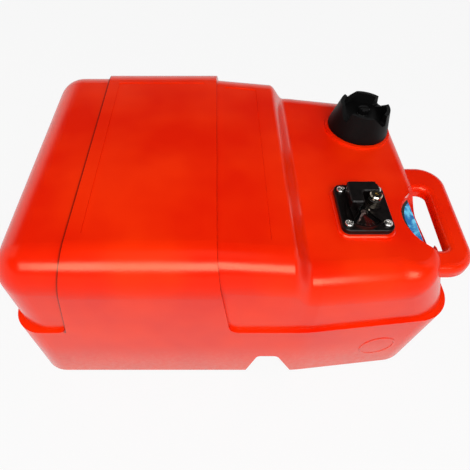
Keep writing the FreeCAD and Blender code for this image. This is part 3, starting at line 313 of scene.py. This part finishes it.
# Natural polyethylene, IOR 1.54: milky, with light let into it.  The float's guide, the
# foot and the strainer are white acetal, which looks the same and shares it.
milky_polyethylene, tree, surface, place = start_material(
    "natural_polyethylene", IOR=1.54, Subsurface_Weight=0.25, Subsurface_Scale=0.002)
cloud = add(tree, "ShaderNodeTexNoise", {"Scale": 90.0, "Detail": 2.0}, {"Vector": place})
tint = add(tree, "ShaderNodeMix", {"data_type": "RGBA", 6: linear("#DAD5C8"), 7: linear("#EAE6DB")},
           {0: cloud.outputs["Fac"]})
gloss = add(tree, "ShaderNodeMapRange", {"To Min": 0.30, "To Max": 0.42}, {"Value": cloud.outputs["Fac"]})
tree.links.new(tint.outputs[2], surface.inputs["Base Color"])
tree.links.new(gloss.outputs["Result"], surface.inputs["Roughness"])
dress(milky_polyethylene, "seal_disc", "float_guide", "guide_foot", "pickup_strainer")


# ================================================================ pick-up head
# Flange, spigot, gauge chamber, turret and outlet boss are one moulding of
# glass-filled nylon, screwed down on a rubber gasket.
# Nylon, IOR 1.53.  Short glass fibres show at the skin as a cloudy, slightly brown
# black; the grain is drawn at 0.6 mm.
glass_nylon, tree, surface, place = start_material("glass_filled_nylon", IOR=1.53, Specular_IOR_Level=0.18)
fibre = add(tree, "ShaderNodeTexNoise", {"Scale": 140.0, "Detail": 4.0, "Distortion": 1.2},
            {"Vector": place})
grain = add(tree, "ShaderNodeTexNoise", {"Scale": 1600.0, "Detail": 1.0}, {"Vector": place})
share = add(tree, "ShaderNodeMapRange", {"From Min": 0.35, "From Max": 0.7},
            {"Value": fibre.outputs["Fac"]})
tint = add(tree, "ShaderNodeMix", {"data_type": "RGBA", 6: linear("#060404"), 7: linear("#110B0A")},
           {0: share.outputs["Result"]})
gloss = add(tree, "ShaderNodeMapRange", {"To Min": 0.34, "To Max": 0.46},
            {"Value": share.outputs["Result"]})
skin = add(tree, "ShaderNodeBump", {"Strength": 0.22, "Distance": 0.0001},
           {"Height": grain.outputs["Fac"]})
tree.links.new(tint.outputs[2], surface.inputs["Base Color"])
tree.links.new(gloss.outputs["Result"], surface.inputs["Roughness"])
tree.links.new(skin.outputs["Normal"], surface.inputs["Normal"])
dress(glass_nylon, "head_housing")


# ---------------------------------------------------------------- flange screws
# Four M5 pan-head machine screws of bright stainless steel, cold-headed with a cross
# recess and rolled with their thread, go through the flange into the deck's inserts.
HEAD_R, HEAD_HEIGHT = 0.0046, 0.0032
SHANK_R, THREAD_DEPTH, PITCH = 0.00247, 0.0004, 0.0008
SCREW_LENGTH = 0.016
RECESS_DEPTH, RECESS_REACH, RECESS_HALF = 0.0019, 0.0026, 0.00055
CROWN_FALL = 0.0014
SIDE_FADE, END_FADE = 0.00025, 0.0006    # over which the recess runs out to the head
POINT_LENGTH = 0.0012                    # tapered end of the shank


def pan_screw(centre, seat, turn):
    """A pan-head screw as rings of points from the crown to the tip.

    Crown: the height falls by CROWN_FALL x (r / HEAD_R) to the fourth, less a cross
    recess that fades out beside its four arms and towards their ends.  Shank: the radius
    goes in by THREAD_DEPTH as a zigzag of height / PITCH less angle / 360."""
    angle = np.linspace(0, 2 * math.pi, 72, endpoint=False)[None, :]
    r = np.linspace(0.00002, HEAD_R - 0.0003, 36)[:, None] + 0 * angle
    along, beside = r * np.cos(angle - turn), r * np.sin(angle - turn)
    arm = np.minimum(np.abs(along), np.abs(beside))
    end = np.maximum(np.abs(along), np.abs(beside))
    inside = (np.clip((RECESS_HALF - arm) / SIDE_FADE + 0.5, 0, 1)
              * np.clip((RECESS_REACH - end) / END_FADE, 0, 1))
    crown = HEAD_HEIGHT - CROWN_FALL * (r / HEAD_R) ** 4 - RECESS_DEPTH * inside
    rim_r = np.array([HEAD_R - 0.0001, HEAD_R, HEAD_R, HEAD_R - 0.0001, SHANK_R])[:, None] + 0 * angle
    rim_z = np.array([0.0016, 0.0013, 0.0003, 0.0, 0.0])[:, None] + 0 * angle
    z = np.linspace(-0.0003, -SCREW_LENGTH, 110)[:, None] + 0 * angle
    zigzag = np.abs(((z / PITCH - angle / (2 * math.pi)) % 1.0) * 2 - 1)
    taper = np.clip((z + SCREW_LENGTH) / POINT_LENGTH, 0, 1)
    shank = (SHANK_R - THREAD_DEPTH * zigzag) * (0.72 + 0.28 * taper)
    radius = np.vstack([r, rim_r, shank])
    height = np.vstack([crown, rim_z, z])
    x, y = centre
    return np.stack([x + radius * np.cos(angle), y + radius * np.sin(angle), seat + height], -1)


# Stainless steel, tumbled bright: the fine marks of the tumbling are drawn as a noise of
# 1 mm in its gloss.
bright_steel, tree, surface, place = start_material("bright_stainless_steel", Metallic=1.0)
blotch_noise = add(tree, "ShaderNodeTexNoise", {"Scale": 900.0, "Detail": 3.0}, {"Vector": place})
tint = add(tree, "ShaderNodeMix", {"data_type": "RGBA", 6: linear("#CFCDC9"), 7: linear("#E6E4E0")},
           {0: blotch_noise.outputs["Fac"]})
gloss = add(tree, "ShaderNodeMapRange", {"From Min": 0.3, "From Max": 0.7, "To Min": 0.16, "To Max": 0.30},
            {"Value": blotch_noise.outputs["Fac"]})
tree.links.new(tint.outputs[2], surface.inputs["Base Color"])
tree.links.new(gloss.outputs["Result"], surface.inputs["Roughness"])
dress(bright_steel, "twist_strip", "pickup_tube")

screw_low, screw_high = (np.array(corner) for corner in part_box("head_screws"))
seat_z = screw_high[2] - HEAD_HEIGHT
near_x, far_x = screw_low[0] + HEAD_R, screw_high[0] - HEAD_R
near_y, far_y = screw_low[1] + HEAD_R, screw_high[1] - HEAD_R
corners = [(near_x, near_y, 0.35), (far_x, near_y, 1.1), (near_x, far_y, 0.75), (far_x, far_y, 0.1)]
screws = [surface_piece(f"flange_screw_{i + 1}", pan_screw((x, y), seat_z, turn), bright_steel,
                        "tank", wrap=(False, True), caps=True)
          for i, (x, y, turn) in enumerate(corners)]
for screw in screws:
    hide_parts("head_screws")


# ---------------------------------------------------------------- screw inserts
# Blind inserts turned from brass bar, moulded into the deck's bosses.
# Brass, turned and left bare: warm yellow, dulled in patches.
turned_brass, tree, surface, place = start_material("turned_brass", Metallic=1.0)
patch = add(tree, "ShaderNodeTexNoise", {"Scale": 200.0, "Detail": 3.0}, {"Vector": place})
tint = add(tree, "ShaderNodeMix", {"data_type": "RGBA", 6: linear("#A98444"), 7: linear("#D2AE66")},
           {0: patch.outputs["Fac"]})
gloss = add(tree, "ShaderNodeMapRange", {"To Min": 0.22, "To Max": 0.42}, {"Value": patch.outputs["Fac"]})
tree.links.new(tint.outputs[2], surface.inputs["Base Color"])
tree.links.new(gloss.outputs["Result"], surface.inputs["Roughness"])
dress(turned_brass, "screw_inserts", "valve_pin")


# ---------------------------------------------------------------- fuel outlet
# The hose coupling slides on a turned brass nipple, nickel plated, with an O-ring in
# its groove and a check pin in its mouth.
# Nickel plate over brass: warmer and darker than steel, with turning rings round the
# outlet's axis.  They are drawn 2.5 mm apart, coarser than real, so that they show.
nickel_plate, tree, surface, place = start_material("nickel_plate", Metallic=1.0)
rings = add(tree, "ShaderNodeTexWave", {"bands_direction": "Z", "Scale": 125.0, "Distortion": 0.4},
            {"Vector": place})
tint = add(tree, "ShaderNodeMix", {"data_type": "RGBA", 6: linear("#B5A794"), 7: linear("#D8CCBB")},
           {0: rings.outputs["Fac"]})
gloss = add(tree, "ShaderNodeMapRange", {"To Min": 0.18, "To Max": 0.28}, {"Value": rings.outputs["Fac"]})
tree.links.new(tint.outputs[2], surface.inputs["Base Color"])
tree.links.new(gloss.outputs["Result"], surface.inputs["Roughness"])
dress(nickel_plate, "outlet_nipple")

# The check pin's spring is coiled from bright steel wire.  It stands on a ledge in the nipple.
# In use it shortens by the pin's travel; this piece keeps one length.
WIRE_R, COIL_R, COILS = 0.00034, 0.0021, 4
spring_low, spring_high = (np.array(corner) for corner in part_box("valve_spring"))
middle = (spring_low + spring_high) / 2
angle = np.linspace(0, 2 * math.pi * COILS, 40 * COILS + 1)[:, None]
round_wire = np.linspace(0, 2 * math.pi, 10, endpoint=False)[None, :]
# Helix: at angle a the wire's middle stands COIL_R out and has risen by its share of the
# free height; round the wire, angle b adds WIRE_R x cos b outwards and WIRE_R x sin b upwards.
radius = COIL_R + WIRE_R * np.cos(round_wire) + 0 * angle
height = (spring_low[2] + WIRE_R + (spring_high[2] - spring_low[2] - 2 * WIRE_R) * angle / angle[-1]
          + WIRE_R * np.sin(round_wire))
coil = np.stack([middle[0] + radius * np.cos(angle), middle[1] + radius * np.sin(angle), height], -1)
spring_coil = surface_piece("spring_coil", coil, bright_steel, "tank",
                            wrap=(False, True), caps=True)
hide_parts("valve_spring")
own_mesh(spring_coil)


# ---------------------------------------------------------------- fuel gauge
# Under a clear window a needle sweeps a printed dial: a dark plate with pale ticks, dark
# red over its right half.
needle_joint = next(joint for joint in frame["joints"] if joint["name"] == "gauge_spin")
PIVOT = needle_joint["pos_m"]
# Printed anodised plate, satin.  Angle and radius are taken round the needle's pivot, the
# angle from the plate's middle line to the right: ticks stand every TICK_STEP between
# TICK_INNER and TICK_OUTER, and the red starts at RED_FROM.
TICK_STEP, TICK_HALF = math.radians(15.5), math.radians(1.1)
TICK_INNER, TICK_OUTER = 0.0140, 0.0182
RED_FROM = math.radians(2.0)
dial_print, tree, surface, place = start_material("printed_dial_plate", IOR=1.5, Roughness=0.38)
centred = add(tree, "ShaderNodeVectorMath", {"operation": "SUBTRACT", 1: tuple(PIVOT)}, {0: place})
parts = add(tree, "ShaderNodeSeparateXYZ", links={"Vector": centred.outputs["Vector"]})
turned_y = add(tree, "ShaderNodeMath", {"operation": "MULTIPLY", 1: -1.0}, {0: parts.outputs["Y"]})
bearing = add(tree, "ShaderNodeMath", {"operation": "ARCTAN2"},
              {0: parts.outputs["X"], 1: turned_y.outputs[0]})
flat = add(tree, "ShaderNodeCombineXYZ", links={"X": parts.outputs["X"], "Y": parts.outputs["Y"]})
far = add(tree, "ShaderNodeVectorMath", {"operation": "LENGTH"}, {0: flat.outputs["Vector"]})
step = add(tree, "ShaderNodeMath", {"operation": "PINGPONG", 1: TICK_STEP / 2}, {0: bearing.outputs[0]})
thin = add(tree, "ShaderNodeMath", {"operation": "LESS_THAN", 1: TICK_HALF}, {0: step.outputs[0]})
outer = add(tree, "ShaderNodeMath", {"operation": "GREATER_THAN", 1: TICK_INNER},
            {0: far.outputs["Value"]})
inner = add(tree, "ShaderNodeMath", {"operation": "LESS_THAN", 1: TICK_OUTER}, {0: far.outputs["Value"]})
band = add(tree, "ShaderNodeMath", {"operation": "MULTIPLY"}, {0: outer.outputs[0], 1: inner.outputs[0]})
tick = add(tree, "ShaderNodeMath", {"operation": "MULTIPLY"}, {0: band.outputs[0], 1: thin.outputs[0]})
right_half = add(tree, "ShaderNodeMath", {"operation": "GREATER_THAN", 1: RED_FROM},
                 {0: bearing.outputs[0]})
cloud = add(tree, "ShaderNodeTexNoise", {"Scale": 400.0, "Detail": 2.0}, {"Vector": place})
plate = add(tree, "ShaderNodeMix", {"data_type": "RGBA", 6: linear("#1A0906"), 7: linear("#260E09")},
            {0: cloud.outputs["Fac"]})
zoned = add(tree, "ShaderNodeMix", {"data_type": "RGBA", 7: linear("#5E0B08")},
            {0: right_half.outputs[0], 6: plate.outputs[2]})
marked = add(tree, "ShaderNodeMix", {"data_type": "RGBA", 7: linear("#8A7A72")},
             {0: tick.outputs[0], 6: zoned.outputs[2]})
tree.links.new(marked.outputs[2], surface.inputs["Base Color"])
dress(dial_print, "gauge_dial")

# Acetal needle, IOR 1.48, a warm mid grey with a moulded satin.
grey_acetal, tree, surface, place = start_material("grey_acetal", IOR=1.48, Roughness=0.35)
cloud = add(tree, "ShaderNodeTexNoise", {"Scale": 300.0, "Detail": 2.0}, {"Vector": place})
tint = add(tree, "ShaderNodeMix", {"data_type": "RGBA", 6: linear("#6E5A58"), 7: linear("#8C7876")},
           {0: cloud.outputs["Fac"]})
tree.links.new(tint.outputs[2], surface.inputs["Base Color"])
dress(grey_acetal, "gauge_pointer")

# Cast acrylic window, IOR 1.49, polished; hair-fine wiping marks, drawn at 2 mm, move
# the gloss a little.
clear_acrylic, tree, surface, place = start_material(
    "clear_acrylic", IOR=1.49, Transmission_Weight=1.0, Base_Color=linear("#F2EFEC"))
wipes = add(tree, "ShaderNodeTexNoise", {"Scale": 500.0, "Detail": 3.0, "Distortion": 2.0},
            {"Vector": place})
gloss = add(tree, "ShaderNodeMapRange", {"To Min": 0.01, "To Max": 0.06}, {"Value": wipes.outputs["Fac"]})
tree.links.new(gloss.outputs["Result"], surface.inputs["Roughness"])
dress(clear_acrylic, "gauge_lens")


# ---------------------------------------------------------------- float
# The float is turned from closed-cell nitrile foam.
# Foam: the cut cells, 0.8 mm across, are small cups in a dry skin, with painted shade darkening their
# middles.
nitrile_foam, tree, surface, place = start_material("closed_cell_foam", IOR=1.5, Roughness=0.85)
cells = add(tree, "ShaderNodeTexVoronoi", {"Scale": 1250.0}, {"Vector": place})
# Painted shade: darker towards each cup's middle.
tint = add(tree, "ShaderNodeMix", {"data_type": "RGBA", 6: linear("#1B1B1A"), 7: linear("#3C3A37")},
           {0: cells.outputs["Distance"]})
pits = add(tree, "ShaderNodeBump", {"Strength": 0.5, "Distance": 0.0003},
           {"Height": cells.outputs["Distance"]})
tree.links.new(tint.outputs[2], surface.inputs["Base Color"])
tree.links.new(pits.outputs["Normal"], surface.inputs["Normal"])
dress(nitrile_foam, "fuel_float")


# ================================================================ scoop label
# A half-moon of printed film lies in the finger scoop: cloudy blue, with a dark border.
# Vinyl film, IOR 1.5, glossy print.  The border follows the label's arc.
SCOOP_CENTRE = (0.2250, -0.0735, 0.0)
LABEL_R, BORDER = 0.0470, 0.0030
label_print, tree, surface, place = start_material("printed_vinyl_film", IOR=1.5, Specular_IOR_Level=0.25)
centred = add(tree, "ShaderNodeVectorMath", {"operation": "SUBTRACT", 1: SCOOP_CENTRE}, {0: place})
parts = add(tree, "ShaderNodeSeparateXYZ", links={"Vector": centred.outputs["Vector"]})
flat = add(tree, "ShaderNodeCombineXYZ", links={"X": parts.outputs["X"], "Y": parts.outputs["Y"]})
far = add(tree, "ShaderNodeVectorMath", {"operation": "LENGTH"}, {0: flat.outputs["Vector"]})
rim = add(tree, "ShaderNodeMath", {"operation": "GREATER_THAN", 1: LABEL_R - BORDER},
          {0: far.outputs["Value"]})
flow = add(tree, "ShaderNodeTexNoise", {"Scale": 60.0, "Detail": 4.0, "Distortion": 1.5},
           {"Vector": place})
pale = add(tree, "ShaderNodeMapRange", {"From Min": 0.45, "From Max": 0.62},
           {"Value": flow.outputs["Fac"]})
field = add(tree, "ShaderNodeMix", {"data_type": "RGBA", 6: linear("#0A6CB0"), 7: linear("#6AD0F6")},
            {0: pale.outputs["Result"]})
edged = add(tree, "ShaderNodeMix", {"data_type": "RGBA", 7: linear("#04070A")},
            {0: rim.outputs[0], 6: field.outputs[2]})
gloss = add(tree, "ShaderNodeMapRange", {"To Min": 0.22, "To Max": 0.32}, {"Value": flow.outputs["Fac"]})
tree.links.new(edged.outputs[2], surface.inputs["Base Color"])
tree.links.new(gloss.outputs["Result"], surface.inputs["Roughness"])
dress(label_print, "recess_label")


# ================================================================ studio
# A white paper floor, a wide soft box in front and above, weaker ones at both sides and
# overhead, and a room that is pale at the horizon and dark above it.
white_paper, tree, surface, place = start_material("white_paper", Roughness=0.9, IOR=1.3)
fleck = add(tree, "ShaderNodeTexNoise", {"Scale": 30.0, "Detail": 2.0}, {"Vector": place})
tint = add(tree, "ShaderNodeMix", {"data_type": "RGBA", 6: linear("#C0C0C0"), 7: linear("#C6C6C6")},
           {0: fleck.outputs["Fac"]})
tree.links.new(tint.outputs[2], surface.inputs["Base Color"])


def seen_directly(tree):
    """1 for rays from the camera, from a mirror surface or through a clear one, else 0."""
    path = add(tree, "ShaderNodeLightPath")
    either = add(tree, "ShaderNodeMath", {"operation": "MAXIMUM"},
                 {0: path.outputs["Is Camera Ray"], 1: path.outputs["Is Glossy Ray"]})
    return add(tree, "ShaderNodeMath", {"operation": "MAXIMUM"},
               {0: either.outputs[0], 1: path.outputs["Is Transmission Ray"]}).outputs[0]


# Seen directly, nine tenths of the paper's white is its own, so that the shadow on it stays faint.
share = add(tree, "ShaderNodeMath", {"operation": "MULTIPLY", 1: 0.9}, {0: seen_directly(tree)})
glow = add(tree, "ShaderNodeEmission", {"Color": linear("#FFFFFF"), "Strength": 1.0})
mixed = add(tree, "ShaderNodeMixShader", links={0: share.outputs[0], 1: surface.outputs["BSDF"],
                                                2: glow.outputs["Emission"]})
output = next(node for node in tree.nodes if node.type == "OUTPUT_MATERIAL")
tree.links.new(mixed.outputs["Shader"], output.inputs["Surface"])
HALF_FLOOR = 6.0
floor_mesh = bpy.data.meshes.new("floor")
floor_corners = [(HALF_FLOOR * x, HALF_FLOOR * y, 0) for x, y in ((-1, -1), (1, -1), (1, 1), (-1, 1))]
floor_mesh.from_pydata(floor_corners, [], [(0, 1, 2, 3)])
floor_mesh.materials.append(white_paper)
floor = bpy.data.objects.new("floor", floor_mesh)
bpy.context.scene.collection.objects.link(floor)


def soft_box(name, place, target, size, watts):
    """Rectangular lamp at place that faces target."""
    data = bpy.data.lights.new(name, "AREA")
    data.shape = "RECTANGLE"
    data.size, data.size_y = size
    data.energy = watts
    lamp = bpy.data.objects.new(name, data)
    lamp.location = place
    aim = np.array(target) - np.array(place)
    yaw = math.atan2(aim[0], aim[1])
    lamp.rotation_euler = (math.pi / 2 + math.atan2(aim[2], np.hypot(aim[0], aim[1])), 0, -yaw)
    bpy.context.scene.collection.objects.link(lamp)


soft_box("key_box", (0.0, -1.17, 1.37), (0.0, -0.05, 0.12), (1.9, 0.55), 32)
soft_box("left_box", (-1.9, 0.3, 1.5), (0, 0, 0.1), (1.2, 1.2), 3)
soft_box("right_box", (1.9, 0.3, 1.5), (0, 0, 0.1), (1.2, 1.2), 3)
soft_box("top_box", (0.0, -0.35, 2.4), (0, 0, 0.1), (1.4, 0.8), 2)

world = bpy.data.worlds.new("studio")
bpy.context.scene.world = world
world.use_nodes = True
tree = world.node_tree
tree.nodes.clear()
direction = add(tree, "ShaderNodeTexCoord").outputs["Generated"]
rise = add(tree, "ShaderNodeSeparateXYZ", links={"Vector": direction}).outputs["Z"]
PALE_UNDER, DARK_OVER = 0.26, 0.48    # sine of the height in the sky
fall = add(tree, "ShaderNodeMapRange", {"From Min": PALE_UNDER, "From Max": DARK_OVER,
                                        "interpolation_type": "SMOOTHSTEP"}, {"Value": rise})
sky = add(tree, "ShaderNodeMix", {"data_type": "RGBA", 6: linear("#FAFAFA"), 7: linear("#262626")},
          {0: fall.outputs["Result"]})
around = add(tree, "ShaderNodeMix", {"data_type": "RGBA", 6: linear("#7C7C7C")},
             {0: seen_directly(tree), 7: sky.outputs[2]})
room = add(tree, "ShaderNodeBackground", {"Strength": 1.0}, {"Color": around.outputs[2]})
add(tree, "ShaderNodeOutputWorld", links={"Surface": room.outputs["Background"]})

bpy.context.scene.view_settings.view_transform = "Standard"

# The camera stands in front of the tank and looks steeply down, 420 pixels of focal
# length on a 470 pixel frame, its axis 19 pixels left of the frame's middle.
FRAME, FOCAL, AXIS_U = 470, 420, 216
STAND = (-0.02725, -0.3752, 0.5235)
LOOK_DOWN = 51.07                   # degrees below level
lens = bpy.data.cameras.new("camera")
lens.sensor_width = 36.0
lens.lens = FOCAL / FRAME * lens.sensor_width
lens.shift_x = (FRAME / 2 - AXIS_U) / FRAME
lens.clip_start, lens.clip_end = 0.01, 50
camera = bpy.data.objects.new("camera", lens)
camera.location = STAND
camera.rotation_euler = (math.radians(90 - LOOK_DOWN), 0, 0)
bpy.context.scene.collection.objects.link(camera)
bpy.context.scene.camera = camera
